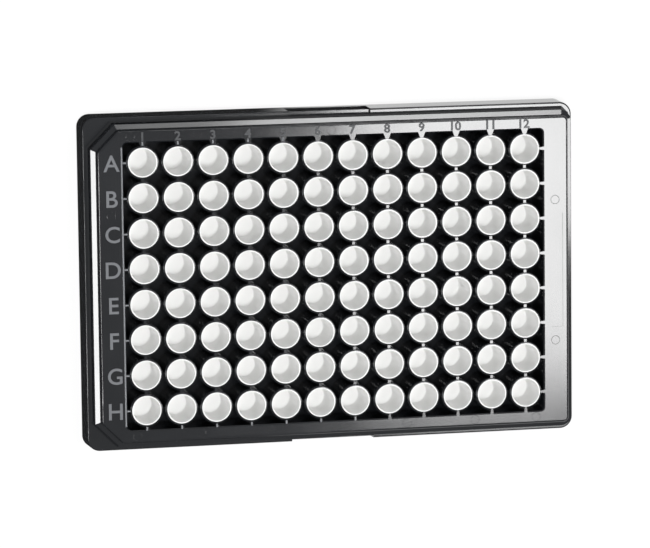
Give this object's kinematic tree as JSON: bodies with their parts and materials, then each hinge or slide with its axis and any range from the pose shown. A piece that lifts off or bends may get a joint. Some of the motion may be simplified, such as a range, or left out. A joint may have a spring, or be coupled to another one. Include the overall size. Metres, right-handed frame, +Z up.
{
  "type": "microplate",
  "caption": "Low rectangular lab plate: glossy dark frame with a stepped skirt and two cut corners, holding a grid of round white wells.",
  "frame": {"origin": "centre of the outline, on the foot", "axes": "+X along the long side from column 1 to column 12, +Y along the short side from row H to row A, +Z up out of the wells"},
  "size_m": [0.1278, 0.0854, 0.0143],
  "materials": {
    "black_plastic": "glossy moulded, near-black",
    "white_plastic": "smooth moulded, opaque white"
  },
  "bodies": {
    "root": {"frame": "black_plastic", "white_wells": "white_plastic"}
  },
  "joints": []
}
